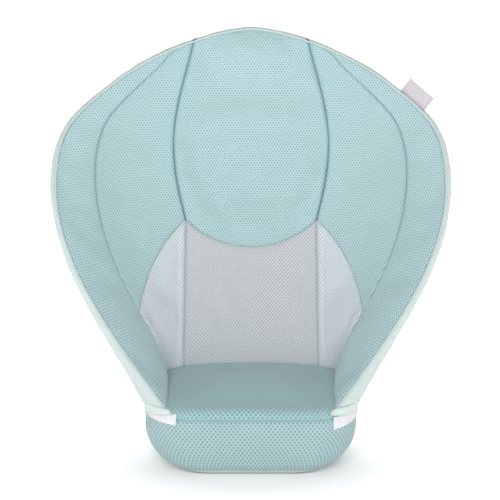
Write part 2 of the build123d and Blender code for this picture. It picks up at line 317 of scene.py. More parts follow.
def rim_faces(nu, nv, flip=False):
    """Faces that join the edges of a front grid and a back grid of the same size."""
    back = nu * nv
    ring = [i * nv for i in range(nu)] + [(nu - 1) * nv + j for j in range(1, nv)]
    ring += [i * nv + nv - 1 for i in range(nu - 2, -1, -1)] + [j for j in range(nv - 2, 0, -1)]
    pairs = zip(ring, ring[1:] + ring[:1])
    faces = [(a, back + a, back + b, b) for a, b in pairs]
    return [f[::-1] for f in faces] if flip else faces


def closed_panel(name, front, back, material, uv, shade, flip=False):
    nu, nv = front.shape[:2]
    verts = np.concatenate([front.reshape(-1, 3), back.reshape(-1, 3)])
    faces = grid_faces(nu, nv, 0, flip) + grid_faces(nu, nv, nu * nv, not flip)
    faces += rim_faces(nu, nv, flip)
    both = np.concatenate([uv.reshape(-1, 2)] * 2)
    shades = np.concatenate([shade.ravel()] * 2)
    return new_piece(name, verts, faces, material, both, shades)


def mirrored(points):
    return points * np.array([-1.0, 1, 1])


def sided(side, *grids):
    return [mirrored(grid) for grid in grids] if side < 0 else grids


def weave_uv(points):
    """Weave coordinates in millimetres that follow the grid from its middle column."""
    middle = points.shape[0] // 2
    across, up = along(points, 0), along(points, 1)
    u = across - across[middle:middle + 1]
    return np.stack([u, np.repeat(up[middle:middle + 1], points.shape[0], 0)], -1)


# Materials
# Colours of the painted shade mixed into the cloth along its seams
mint_seam_shadow, grey_seam_shadow = (0.22, 0.46, 0.47, 1), (0.5, 0.57, 0.6, 1)


def nodes_of(name):
    material = bpy.data.materials.new(name)
    material.use_nodes = True
    tree = material.node_tree
    return material, tree, tree.nodes["Principled BSDF"]


class Web:
    """Short way to add nodes to a material and join them."""

    def __init__(self, tree):
        self.tree = tree

    def add(self, kind, inputs=(), **settings):
        node = self.tree.nodes.new(kind)
        for key, value in settings.items():
            setattr(node, key, value)
        for key, value in dict(inputs).items():
            if isinstance(value, bpy.types.NodeSocket):
                self.tree.links.new(value, node.inputs[key])
            else:
                node.inputs[key].default_value = value
        return node

    def math(self, how, *values):
        return self.add("ShaderNodeMath", dict(enumerate(values)), operation=how).outputs[0]

    def vector(self, how, *values):
        node = self.add("ShaderNodeVectorMath", dict(enumerate(values)), operation=how)
        return node.outputs["Value" if how == "LENGTH" else "Vector"]

    def smooth(self, value, low, high, to_low=0.0, to_high=1.0):
        facts = {"Value": value, "From Min": low, "From Max": high,
                 "To Min": to_low, "To Max": to_high}
        return self.add("ShaderNodeMapRange", facts, interpolation_type="SMOOTHSTEP").outputs[0]

    def noise(self, place, scale, detail=2.0):
        facts = {"Vector": place, "Scale": scale, "Detail": detail, "Roughness": 0.55}
        return self.add("ShaderNodeTexNoise", facts).outputs["Fac"]

    def mix(self, share, a, b, how="MIX"):
        node = self.tree.nodes.new("ShaderNodeMix")
        node.data_type = "RGBA"
        node.blend_type = how
        for socket, value in zip((node.inputs[0], node.inputs[6], node.inputs[7]), (share, a, b)):
            if isinstance(value, bpy.types.NodeSocket):
                self.tree.links.new(value, socket)
            else:
                socket.default_value = value
        return node.outputs[2]


def linear(r, g, b):
    def one(c):
        c /= 255
        return c / 12.92 if c <= 0.04045 else ((c + 0.055) / 1.055) ** 2.4
    return (one(r), one(g), one(b), 1.0)


def seam_shade(web):
    return web.add("ShaderNodeAttribute", attribute_name="seam_shade").outputs["Fac"]


def finish_fabric(web, shader, colour, height, depth, rough, sheen, deep):
    """Joins colour, height and roughness to the shader, with painted shade darkening the colour down in
    the seams.
    """
    # Painted shade: the colour is darkened where the seam_shade attribute is high
    colour = web.mix(seam_shade(web), colour, web.mix(1.0, colour, deep, "MULTIPLY"))
    bump = web.add("ShaderNodeBump", {"Height": height, "Distance": depth * mm, "Strength": 1.0})
    web.tree.links.new(colour, shader.inputs["Base Color"])
    web.tree.links.new(bump.outputs[0], shader.inputs["Normal"])
    web.tree.links.new(rough, shader.inputs["Roughness"])
    shader.inputs["Sheen Weight"].default_value = sheen
    shader.inputs["Sheen Roughness"].default_value = 0.55
    shader.inputs["Specular IOR Level"].default_value = 0.25


def mesh_fabric(name, thread, hole, pitch, row, width=0.30, sheen=0.25, deep=mint_seam_shadow):
    """Knitted spacer mesh: staggered rows of small holes between rounded threads."""
    material, tree, shader = nodes_of(name)
    thread, hole = linear(*thread), linear(*hole)
    web = Web(tree)
    place = web.add("ShaderNodeUVMap", uv_map="weave").outputs[0]
    drift = web.add("ShaderNodeTexNoise", {"Vector": place, "Scale": 0.12, "Detail": 1.0})
    sway = web.vector("SCALE", web.vector("SUBTRACT", drift.outputs["Color"], (0.5, 0.5, 0.5)))
    sway.node.inputs["Scale"].default_value = 0.9
    moved = web.vector("ADD", place, sway)
    reach = []
    for shift in (0.0, 0.5):
        cell = web.vector("MULTIPLY_ADD", moved, (1 / pitch, 0.5 / row, 0.0), (shift, shift, 0.0))
        offset = web.vector("SUBTRACT", web.vector("FRACTION", cell), (0.5, 0.5, 0.0))
        reach.append(web.vector("LENGTH", web.vector("MULTIPLY", offset, (pitch, 1.84 * row, 0.0))))
    near = web.math("MINIMUM", *reach)
    thread_mask = web.smooth(near, pitch * (width - 0.13), pitch * (width + 0.09))
    thread_mask = web.math("MAXIMUM", thread_mask, web.smooth(seam_shade(web), 0.05, 0.4))
    yarn = web.add("ShaderNodeTexNoise", {"Vector": place, "Scale": 3.2, "Detail": 3.0}).outputs["Fac"]
    patch = web.add("ShaderNodeTexNoise", {"Vector": place, "Scale": 0.045, "Detail": 2.0}).outputs["Fac"]
    light = web.mix(patch, [0.93 * c for c in thread[:3]] + [1], [1.05 * c for c in thread[:3]] + [1])
    light = web.mix(web.smooth(yarn, 0.3, 0.7), [0.86 * c for c in thread[:3]] + [1], light)
    colour = web.mix(thread_mask, hole, light)
    height = web.math("MULTIPLY_ADD", yarn, 0.25, thread_mask)
    rough = web.smooth(thread_mask, 0.0, 1.0, 0.95, 0.78)
    finish_fabric(web, shader, colour, height, 0.35, rough, sheen, deep)
    return material


def knit_fabric(name, colour, pitch=0.9, depth=0.12, sheen=0.4, contrast=0.9):
    """Fine plain knit with rows of small stitches and soft patches of tone."""
    material, tree, shader = nodes_of(name)
    web = Web(tree)
    place = web.add("ShaderNodeUVMap", uv_map="weave").outputs[0]
    split = web.add("ShaderNodeSeparateXYZ", {0: place})
    ribs = web.math("SINE", web.math("MULTIPLY", split.outputs[0], 2 * math.pi / pitch))
    row = web.math("MULTIPLY", split.outputs[1], 2 * math.pi / (0.8 * pitch))
    lean = web.math("MULTIPLY_ADD", web.math("ABSOLUTE", ribs), 1.6, row)
    loops = web.math("SINE", lean)
    stitch = web.math("MULTIPLY_ADD", loops, 0.35, web.math("MULTIPLY", ribs, 0.5))
    yarn = web.noise(place, 2.5, 3.0)
    patch = web.smooth(web.noise(place, 0.22, 4.0), 0.3, 0.7)
    low = [contrast * c for c in colour[:3]] + [1]
    high = [min(1.04 * c, 1) for c in colour[:3]] + [1]
    tone = web.mix(patch, low, high)
    tone = web.mix(web.smooth(stitch, -0.8, 0.8), [0.9 * c for c in colour[:3]] + [1], tone)
    height = web.math("MULTIPLY_ADD", yarn, 0.5, stitch)
    rough = web.smooth(yarn, 0.2, 0.8, 0.78, 0.92)
    finish_fabric(web, shader, tone, height, depth, rough, sheen, grey_seam_shadow)
    return material


def foam_material():
    """Open foam with fine cells, seen only where a cover is lifted."""
    material, tree, shader = nodes_of("foam_cells")
    web = Web(tree)
    place = web.add("ShaderNodeTexCoord").outputs["Object"]
    cells = web.add("ShaderNodeTexVoronoi", {"Vector": place, "Scale": 900.0}).outputs["Distance"]
    colour = web.mix(cells, (0.78, 0.76, 0.68, 1), (0.55, 0.53, 0.46, 1))
    bump = web.add("ShaderNodeBump", {"Height": cells, "Distance": 0.3 * mm})
    tree.links.new(colour, shader.inputs["Base Color"])
    tree.links.new(bump.outputs[0], shader.inputs["Normal"])
    tree.links.new(web.smooth(cells, 0.0, 1.0, 0.85, 0.98), shader.inputs["Roughness"])
    return material


mint_mesh_fine = mesh_fabric("mint_mesh_fine", mint_rgb, mint_hole_rgb, 3.3, 2.6, 0.27)
border_mesh = mesh_fabric("border_mesh", border_rgb, border_hole_rgb, 4.4, 2.8, 0.27)
# Shaded copy of the border mesh: painted shade on the seat top
top_shaded_mesh = mesh_fabric("top_shaded_mesh", top_shaded_rgb, top_shaded_hole_rgb, 4.4, 2.8, 0.27)
# Lit copy of the grey mesh: painted light on the hips
hip_lit_mesh = mesh_fabric("hip_lit_mesh", hip_lit_rgb, hip_lit_hole_rgb, 3.6, 2.2, 0.24, deep=grey_seam_shadow)
grey_mesh = mesh_fabric("grey_mesh", grey_rgb, grey_hole_rgb, 3.6, 2.2, 0.24, deep=grey_seam_shadow)
pale_knit = knit_fabric("pale_knit", linear(*pale_rgb))
welt_fabric = knit_fabric("welt_fabric", linear(*welt_rgb), 0.7, 0.08)
white_tape = knit_fabric("white_tape", linear(*tape_rgb), 1.1, 0.5, 0.5, 0.94)
ribbon = knit_fabric("ribbon", linear(*ribbon_rgb), 0.6, 0.1, 0.3, 0.92)
foam = foam_material()


# Panels of the shell's front cover
def seam_profile(gap, groove=2.2, crown=2.4, reach=26.0):
    """Height of a padded panel over its rest face by the distance to its seams."""
    return crown * (1 - np.exp(-gap / reach)) - groove * np.exp(-gap / 1.9)


def swollen(base, normal, height, pressure=4.0, spare=0.015, frames=18):
    """Front face blown up by a cloth simulation with its seams pinned, to a given height."""
    nu, nv = base.shape[:2]
    soft = base + normal * (height * (1 - np.exp(-edge_distance(base) / 24)))[..., None]
    start = base + normal * 0.15 * (soft - base)
    flip = np.sum(grid_normals(base) * normal) > 0
    cloth_piece = new_piece("cloth_at_rest", start.reshape(-1, 3), grid_faces(nu, nv, 0, not flip),
                            mint_mesh_fine)
    edge = [i * nv + j for i in range(nu) for j in range(nv) if i in (0, nu - 1) or j in (0, nv - 1)]
    cloth_piece.vertex_groups.new(name="seams").add(edge, 1.0, "REPLACE")
    cloth = cloth_piece.modifiers.new("swell", "CLOTH")
    facts = cloth.settings
    facts.quality = 5
    facts.mass = 0.15
    facts.bending_stiffness = 0.4
    facts.use_pressure = True
    facts.uniform_pressure_force = pressure
    facts.shrink_min = -spare
    facts.vertex_group_mass = "seams"
    facts.effector_weights.gravity = 0
    cloth.point_cache.frame_start, cloth.point_cache.frame_end = 1, frames
    for step in range(1, frames + 1):
        bpy.context.scene.frame_set(step)
    held = cloth_piece.evaluated_get(bpy.context.evaluated_depsgraph_get()).to_mesh()
    ends = np.zeros(nu * nv * 3)
    held.vertices.foreach_get("co", ends)
    moved = ends.reshape(nu, nv, 3) / mm - base
    bpy.context.scene.frame_set(1)
    bpy.data.objects.remove(cloth_piece)
    for _ in range(8):
        for axis in (0, 1):
            pad = [(1, 1) if a == axis else (0, 0) for a in range(3)]
            wide = np.pad(moved, pad, mode="edge")
            near = np.take(wide, range(wide.shape[axis] - 2), axis)
            far = np.take(wide, range(2, wide.shape[axis]), axis)
            moved = moved / 2 + (near + far) / 4
    peak = np.percentile(np.linalg.norm(moved, axis=-1), 97)
    return base + moved * min(height / max(peak, 1e-6), 3.0)


def hip_seam_level(u):
    """Level of the seam over the hip panel: an arc through three places, given as x and z."""
    seam = np.array(hip_seam)
    centre = np.linalg.solve(2 * (seam[1:] - seam[0]), (seam[1:] ** 2).sum(1) - seam[0] @ seam[0])
    radius = np.linalg.norm(seam[0] - centre)
    t = np.linspace(0.0, arc_level, 400)
    found = []
    for share in u:
        points = shell_point("side", share + 0 * t, t, 0.0)
        off = np.hypot(points[:, 0] - centre[0], points[:, 2] - centre[1]) - radius
        outside = np.nonzero(off > 0)[0]
        found.append(t[outside[0]] if len(outside) else arc_level)
    found = np.array(found)
    found[0] = arc_level
    kernel = np.array([1, 2, 3, 2, 1]) / 9
    soft = np.convolve(np.pad(found, 2, mode="edge"), kernel, "valid")
    return np.where((np.arange(len(u)) > 2) & (np.arange(len(u)) < len(u) - 2), soft, found)


def front_panel(name, part, u, t, material, shade_marks, grooves, crown=2.4, side=1, extra=None):
    """Padded panel: strengths of painted seam shade and depths of grooves are given for its four seams.
    """
    base = shell_point(part, u, t, 0.0)
    runs = edge_runs(base)
    gap = least(runs)
    normal = grid_normals(base)
    normal = normal * np.sign(-normal[..., 1].mean())
    full = swollen(base, normal, crown)
    dip = sum(groove * np.exp(-run / 1.9) for groove, run in zip(grooves, runs))
    lift = -np.minimum(dip, 2.6)
    inside = 1 - np.exp(-gap / 9.0)
    lift = lift + inside * (0.45 * waves(base, 75.0) + 0.2 * waves(base, 30.0))
    pucker = np.exp(-gap / 6.0) * (1 - np.exp(-gap / 1.5))
    lift = lift + pucker * 0.18 * waves(base, 11.0, 14)
    if extra is not None:
        lift = lift + extra(base, gap)
    front = full + normal * lift[..., None]
    back = shell_point(part, u, t, cover_depth)
    # Painted shade: the cloth is darkened along each seam by these strengths
    shade = np.clip(sum(mark * crease_painted_shade(run) for mark, run in zip(shade_marks, runs)), 0, 1)
    coordinates = cut_uv(part, u, t)
    front, back = sided(side, front, back)
    return closed_panel(name, front, back, material, coordinates, shade, side > 0)


def level_length():
    """Length run up the middle of the back, by level."""
    t = np.linspace(0, 1, 300)
    y = seam_points(t)[0][:, 1] + centre_bulge(t)
    step = np.hypot(np.diff(y), np.diff(shell_rise * t))
    return t, np.concatenate([[0], np.cumsum(step)])


run_levels, run_lengths = level_length()


def cut_uv(part, u, t):
    """Weave in level rows, as on panels that are cut straight and sewn side by side."""
    p1, p2, p3 = seam_points(t)
    side, rim = [np.linalg.norm(b - a, axis=-1) for a, b in ((p1, p2), (p2, p3))]
    across = {"centre": u * p1[..., 0], "side": p1[..., 0] + side * u, "rim": p1[..., 0] + side + rim * u}
    return np.stack([across[part] * 1.04, np.interp(t, run_levels, run_lengths)], -1)


def coons(bottom, top, left, right):
    """Grid of plane points between four edge curves."""
    nu, nv = len(bottom), len(left)
    a, b = eased(nu, 0.5)[:, None, None], eased(nv, 0.5)[None, :, None]
    ruled = (1 - b) * bottom[:, None] + b * top[:, None] + (1 - a) * left[None] + a * right[None]
    corners = ((1 - a) * (1 - b) * bottom[0] + a * (1 - b) * bottom[-1]
               + (1 - a) * b * top[0] + a * b * top[-1])
    return ruled - corners


def arc_fall(x):
    """How far the curved seam over the lumbar panel falls below its ends."""
    radius = (centre_half ** 2 + arc_drop ** 2) / (2 * arc_drop)
    return np.sqrt(radius ** 2 - x ** 2) - (radius - arc_drop)


def head_grid(nu=89, nv=97):
    """Share across and level of the head panel, from the arc seam up to the rim."""
    a, b = eased(nu, 0.5), eased(nv, 0.5)
    x = centre_half * (2 * a - 1)
    bottom = np.stack([x, arc_level - arc_fall(x) / shell_rise], -1)
    t = arc_level + (tip_level - arc_level) * b
    right = np.stack([centre_seam(t), t], -1)
    left = right * [-1, 1]
    tip = float(centre_seam(np.array(tip_level)))
    s = np.linspace(0, 1, 4000)
    levels = 1 - (1 - tip_level) * (1 - s) ** 1.6
    rim_x, rim_t = rim_half(levels), levels
    half = np.hypot(np.diff(rim_x), np.diff(rim_t) * shell_rise)
    run = np.concatenate([[0], np.cumsum(half)])
    want = np.abs(2 * a - 1) * -run[-1] + run[-1]
    top = np.stack([np.sign(2 * a - 1) * np.interp(want, run, rim_x) * tip / rim_x[0],
                    np.interp(want, run, rim_t)], -1)
    flat = coons(bottom, top, left, right)
    x, t = flat[..., 0], np.clip(flat[..., 1], 0, 0.9995)
    return np.clip(x / np.maximum(centre_seam(t), 1e-3), -1, 1), t


def lumbar_grid(nu=73, nv=53):
    a, b = eased(nu, 0.5), eased(nv, 0.5)
    top = arc_level - arc_fall(centre_half * (2 * a - 1)) / shell_rise
    t = top[:, None] * b[None]
    return np.repeat((2 * a - 1)[:, None], nv, 1), t


def hip_grid(nu=41, nv=57):
    u, b = eased(nu, 0.6), eased(nv, 0.5)
    return np.repeat(u[:, None], nv, 1), hip_seam_level(u)[:, None] * b[None]


def inner_grid(nu=53, nv=121):
    u, b = eased(nu, 0.6), eased(nv, 0.5)
    low = hip_seam_level(u)[:, None]
    return np.repeat(u[:, None], nv, 1), low + (tip_level - low) * b[None]


def rim_grid(nu=31, nv=161):
    """The rim panel hangs a little over the seat's front edge at its foot."""
    u, b = eased(nu, 0.6), eased(nv, 0.5)
    low = -foot_overhang * np.clip((u - 0.8) / 0.2, 0, 1)[:, None] ** 1.5
    return np.repeat(u[:, None], nv, 1), low + (tip_level - low) * b[None]


def hip_fold(base, gap):
    """Soft upright fold of the hip panel beside the lumbar seam."""
    away = along(base, 0)
    height = np.clip((base[..., 2] - shell_base) / 60.0, 0, 1)
    rib = np.exp(-((away - 5.5) / 3.4) ** 2) - 0.9 * np.exp(-((away - 12.0) / 3.0) ** 2)
    return 1.1 * rib * height * (1 - np.exp(-gap / 4.0))


def rim_seam_shade_strength(t):
    """Strength of the painted shade along the rim seam: strong above, nearly gone towards the foot."""
    return 0.15 + 0.4 * np.clip((t - 0.30) / 0.15, 0, 1)


def foot_swell(base, gap):
    """The padded rim stands fuller towards the baby just above the seat."""
    level = (base[..., 2] - shell_base) / shell_rise
    return 3.0 * np.exp(-np.maximum(level, 0) / 0.09) * (1 - np.exp(-gap / 7.0))


def front_cover():
    head = front_panel("head_cushion", "centre", *head_grid(), mint_mesh_fine,
                       (1.0, 1.0, 0.3, 0.5), (2.2, 2.2, 1.4, 1.5), crown=3.6)
    lumbar = front_panel("lumbar_cushion", "centre", *lumbar_grid(), grey_mesh,
                         (0.5, 0.5, 0.5, 0.2), (1.5, 1.5, 1.5, 1.4), crown=3.4)
    made = [(head, "head_panel", "mint_mesh"), (lumbar, "lumbar_panel", "grey_mesh")]
    for word, side in (("left", -1), ("right", 1)):
        u, t = inner_grid()
        inner = front_panel(f"{word}_inner_cushion", "side", u, t, mint_mesh_fine,
                            (1.0, rim_seam_shade_strength(t), 0.4, 0.5), (2.2, 1.9, 1.3, 1.5), 3.6, side)
        u, t = hip_grid()
        hip = front_panel(f"{word}_hip_cushion", "side", u, t, hip_lit_mesh,
                          (0.5, 0.2, 0.5, 0.2), (1.5, 1.3, 1.5, 1.3), 2.8, side, hip_fold)
        u, t = rim_grid()
        rim = front_panel(f"{word}_rim_cushion", "rim", u, t, mint_mesh_fine,
                          (rim_seam_shade_strength(t), 0.3, 0.4, 0.4), (1.9, 1.8, 1.5, 1.5), 2.0, side,
                          foot_swell)
        made += [(inner, f"{word}_inner_panel", "mint_mesh"), (hip, f"{word}_hip_panel", "grey_mesh"),
                 (rim, f"{word}_rim_panel", "mint_mesh")]
    for piece, node, slot in made:
        dress(piece, node, "shell")


# Padding and rear cover
def whole_centre(nu=49, nv=121):
    t = 0.9995 * (1 - (1 - np.linspace(0, 1, nv)) ** 1.5)
    u = np.linspace(-1, 1, nu)
    return np.meshgrid(u, t, indexing="ij")


def wing_grid(nu=33, nv=121):
    return np.meshgrid(np.linspace(0, 1, nu), tip_level * eased(nv, 0.4), indexing="ij")


def rear_lift(back, gap):
    normal = grid_normals(back)
    if np.mean(normal[..., 1]) < 0:
        normal = -normal
    lift = seam_profile(gap, 1.0, 2.2, 24.0) + (1 - np.exp(-gap / 9)) * 0.5 * waves(back, 70.0)
    return back + normal * lift[..., None]


def rear_panel(name, part, u, t, side=1):
    front = shell_point(part, u, t, side_thick - rear_depth)
    back = shell_point(part, u, t, side_thick)
    gap = edge_distance(back)
    back = rear_lift(back, gap)
    front, back = sided(side, front, back)
    uv = weave_uv(back)
    # Painted shade darkens the rear cloth along its edges
    piece = closed_panel(name, front, back, pale_knit, uv, crease_painted_shade(gap, 0.6), side > 0)
    return piece


def padding_and_rear():
    near, far = cover_depth + 0.6, side_thick - rear_depth - 0.3
    u, t = whole_centre()
    rear_face = shell_point("centre", u, t, far)
    back = closed_panel("back_padding", shell_point("centre", u, t, near), rear_face, foam,
                        weave_uv(rear_face), 0 * u, True)
    dress(back, "back_foam", "shell")
    rear = rear_panel("rear_centre_cloth", "centre", *whole_centre(73, 121))
    dress(rear, "rear_cover_centre", "shell")
    for word, side in (("left", -1), ("right", 1)):
        u, t = wing_grid()
        inner_half = shell_point("side", np.clip(u * 2, 0, 1), t, near)
        rim_side = shell_point("rim", np.clip(u * 2 - 1, 0, 1), t, near)
        front = np.where((u <= 0.5)[..., None], inner_half, rim_side)
        front, rear_face = sided(side, front, shell_point("rear", u, t, far))
        wing = closed_panel(f"{word}_wing_padding", front, rear_face, foam, weave_uv(front), 0 * u,
                            side > 0)
        dress(wing, f"{word}_wing_foam", "shell")
        cover = rear_panel(f"{word}_rear_cloth", "rear", *wing_grid(57, 161), side=side)
        dress(cover, f"{word}_rear_cover", "shell")


# Rim band, welt and label
def rim_path(count=420):
    """Frames along the whole rim from the left foot to the right one, by equal steps."""
    s = np.linspace(0, 1, 6000)
    t = 1 - (1 - s) ** 2.4
    front = shell_rim(t)
    run = run_along(front)
    half = count // 2
    want = np.linspace(0, run[-1], half + 1)
    t = np.interp(want, run, t)
    front = shell_rim(t)
    through = np.concatenate([seam_normals(t)[2], 0 * t[:, None]], -1)
    blend = np.clip((t - 0.985) / 0.015, 0, 1)[:, None]
    through = unit(through * (1 - blend) + np.array([0.0, 1, 0]) * blend)
    front = np.concatenate([front, mirrored(front[:-1])[::-1]])
    through = np.concatenate([through, mirrored(through[:-1])[::-1]])
    depth = rim_depth(np.concatenate([t, t[:-1][::-1]]))
    tangent = unit(np.gradient(front, axis=0))
    off = unit(np.cross(tangent, through))
    off = np.where((off * front_side(front)).sum(-1, keepdims=True) < 0, -off, off)
    return front, through, off, depth


def shell_rim(t):
    return np.stack([rim_edge(t), rim_y(t), shell_base + shell_rise * t], -1)


def front_side(front):
    """Rough outward direction of the rim, away from the middle of the shell."""
    return front - np.array([0.0, 60.0, 200.0])


def foot_lip(v, share, inset, start):
    """End of the rim strip, laid over the seat's front corner and tucked on to its side."""
    angle = np.radians(-66 + 54 * v)
    reach = seat_corner - 4.0 * np.sin(angle) ** 2 + 2.2 - inset
    plan = np.stack([61 + reach * np.cos(angle), -56 + reach * np.sin(angle)], -1)
    low = np.column_stack([plan, 64.0 - 9.0 * v])
    edge = np.column_stack([plan, 0 * v + 71.0 - inset])
    return (1 - share) ** 2 * start + 2 * share * (1 - share) * edge + share ** 2 * low


def rim_strip():
    """Puffed cloth strip that closes the rim from the front cover to the rear cover."""
    front, through, off, depth = rim_path()
    run = run_along(front)
    v = eased(15, 0.9)
    arch = np.sqrt(np.maximum(1 - (2 * v - 1) ** 2, 0))
    wobble = 0.3 * waves(front, 38.0) + 0.15 * waves(front, 14.0)
    face = front + through * (depth * v[:, None])[..., None]
    outer = face + off * (0.1 + (1.7 + wobble) * arch[:, None])[..., None]
    inner = face - off * 1.4
    uv = np.stack([v[:, None] * depth, run + 0 * v[:, None]], -1)
    side = np.minimum(v, 1 - v)[:, None] * depth
    steps = (1.0, 0.8, 0.6, 0.4, 0.2)
    lips = [[foot_lip(v, s, inset, grid[:, 0]) for s in steps]
            for grid, inset in ((outer, 0.0), (inner, 1.6))]
    outer, inner = [np.concatenate([np.stack(lip, 1), grid, mirrored(np.stack(lip[::-1], 1))], 1)
                    for lip, grid in zip(lips, (outer, inner))]
    ends = [np.stack([v * depth[0], 0 * v - lip_length * s], -1) for s in steps]
    tail = [np.stack([v * depth[0], 0 * v + run[-1] + lip_length * s], -1) for s in steps[::-1]]
    uv = np.concatenate([np.stack(ends, 1), uv, np.stack(tail, 1)], 1)
    side = np.concatenate([side[:, :1]] * 5 + [side] + [side[:, -1:]] * 5, 1)
    # Painted shade darkens the strip along both of its edges
    piece = closed_panel("rim_strip", outer, inner, pale_knit, uv, crease_painted_shade(side, 0.6))
    dress(piece, "rim_band", "shell")
    return piece, run[-1] + 2 * lip_length


def tube(name, path, side, up, radius, material, rounds=10, squash=0.8):
    """Soft cord along a path, with a slightly flattened section."""
    angle = np.linspace(0, 2 * np.pi, rounds, endpoint=False)
    rings = path[:, None] + radius * (np.cos(angle)[None, :, None] * side[:, None]
                                      + squash * np.sin(angle)[None, :, None] * up[:, None])
    n = len(path)
    verts = rings.reshape(-1, 3)
    faces = []
    for i in range(n - 1):
        for j in range(rounds):
            k = (j + 1) % rounds
            faces.append((i * rounds + j, i * rounds + k, (i + 1) * rounds + k, (i + 1) * rounds + j))
    faces.append(tuple(range(rounds))[::-1])
    faces.append(tuple((n - 1) * rounds + j for j in range(rounds)))
    run = run_along(path)
    uv = np.stack(np.meshgrid(run, angle * radius, indexing="ij"), -1).reshape(-1, 2)
    return new_piece(name, verts, faces, material, uv, np.zeros(len(verts)))


def rim_welt():
    front, through, off, _ = rim_path()
    path = front - through * 0.5 + off * 0.6
    piece = tube("rim_welt", path, off, through, 0.8, welt_fabric)
    dress(piece, "rim_piping", "shell")


def side_label():
    """Short folded ribbon sewn into the rim's outer edge, with nothing on it."""
    t = label_level + np.array([-0.02, 0.0, 0.02])
    front = shell_rim(t)
    through = np.concatenate([seam_normals(t)[2], 0 * t[:, None]], -1)
    tangent = unit(front[2] - front[0])
    n = unit(through[1])
    off = unit(np.cross(tangent, n))
    off = off if off[0] > 0 else -off
    root = front[1] + n * 0.3 * rim_depth(t)[1] + off * 1.0
    s = np.linspace(0, 1, 41)
    reach, half = label_reach, 0.85
    fold = 2 * reach * s
    outward = np.where(s <= 0.5, fold, 2 * reach - fold)
    turn = np.clip((outward - (reach - half)) / half, 0, 1)
    level = half * np.sqrt(1 - turn ** 2) * np.sign(0.5 - s)
    level = np.where(np.abs(s - 0.5) < 1e-6, 0, level)
    curl = 1.4 * (outward / reach) ** 2
    across = np.linspace(-0.5, 0.5, 25)
    grid = []
    for share in across:
        ripple = 0.25 * np.sin(share * 9 + outward / 6)
        base = root + tangent * share * label_width
        grid.append(base + off * outward[:, None] - n * (level + curl + ripple)[:, None])
    grid = np.array(grid)
    normal = grid_normals(grid)
    inner = grid - normal * 0.3
    uv = np.stack(np.meshgrid(across * label_width, fold, indexing="ij"), -1)
    # Painted shade near the ribbon's root at the rim; the edge of its lower end is darkened too
    end = np.where((across + 0.5) * label_width < 1.2, 1.0, 0.0)
    gap = np.maximum(crease_painted_shade(outward, 0.8)[None], end[:, None])
    piece = closed_panel("rim_ribbon", grid, inner, ribbon, uv, gap)
    dress(piece, "side_label", "shell")
    return piece


# Seat cushion
def rounded_in(z, rounds):
    low, high = rounds
    under = low - np.sqrt(np.maximum(low ** 2 - np.maximum(low - z, 0) ** 2, 0))
    below = seat_high - z
    over = high - np.sqrt(np.maximum(high ** 2 - np.maximum(high - below, 0) ** 2, 0))
    return under + over


def plan_ring(half, front, rear, corner, grow=0.0):
    """Level outline as points that start at the middle of the front, with normals."""
    half, front, rear = half + grow, front - grow, rear + grow
    corner = min(max(corner + grow, 0.5), half - 0.5, (rear - front) / 2 - 0.5)
    points, normals = [], []

    def straight(a, b, n, count):
        points.extend(a + (b - a) * np.linspace(0, 1, count, endpoint=False)[:, None])
        normals.extend([n] * count)

    def turn(centre, start, count):
        angle = np.radians(start + 90 * np.linspace(0, 1, count, endpoint=False))
        n = np.column_stack([np.cos(angle), np.sin(angle)])
        points.extend(centre + corner * n)
        normals.extend(n)

    xr, yf, yr = half - corner, front + corner, rear - corner
    straight(np.array([0.0, front]), np.array([xr, front]), np.array([0.0, -1]), 28)
    turn(np.array([xr, yf]), -90, 26)
    straight(np.array([half, yf]), np.array([half, yr]), np.array([1.0, 0]), 30)
    turn(np.array([xr, yr]), 0, 26)
    straight(np.array([xr, rear]), np.array([-xr, rear]), np.array([0.0, 1]), 56)
    turn(np.array([-xr, yr]), 90, 26)
    straight(np.array([-half, yr]), np.array([-half, yf]), np.array([-1.0, 0]), 30)
    turn(np.array([-xr, yf]), 180, 26)
    straight(np.array([-xr, front]), np.array([0.0, front]), np.array([0.0, -1]), 28)
    return np.array(points), np.array(normals)


def seat_ring(z, grow=0.0):
    half = seat_half - float(rounded_in(np.array(z), side_rounds))
    front = float(rounded_in(np.array(z), front_rounds)) - seat_front
    rear = seat_rear - float(rounded_in(np.array(z), rear_rounds))
    level = z / seat_high * (seat_high + 2 * grow) - grow
    points, normals = plan_ring(half, front, rear, seat_corner * half / seat_half, grow)
    return np.column_stack([points, np.full(len(points), level)]), normals


def crown_height(x, y):
    """Rise of the seat's top over its flat height, where the baby sits."""
    box = np.array([crown_half - crown_corner, (crown_front + crown_rear) / 2 - crown_corner])
    middle = (crown_rear - crown_front) / 2
    q = np.stack([np.abs(x) - box[0], np.abs(y - middle) - box[1]], -1)
    outside = np.linalg.norm(np.maximum(q, 0), axis=-1) + np.minimum(q.max(-1), 0) - crown_corner
    inset = np.clip(-outside, 0, crown_slope)
    dome = crown_rise * (1 - (1 - inset / crown_slope) ** 2) - 2.0
    return np.log1p(np.exp(dome / 0.8)) * 0.8


def ring_stack(zs, grow=0.0):
    return np.array([seat_ring(z, grow)[0] for z in zs])


def ring_faces(rows, ring, start=0):
    faces = []
    for i in range(rows - 1):
        for j in range(ring):
            k = (j + 1) % ring
            a, b = start + i * ring, start + (i + 1) * ring
            faces.append((a + j, a + k, b + k, b + j))
    return faces


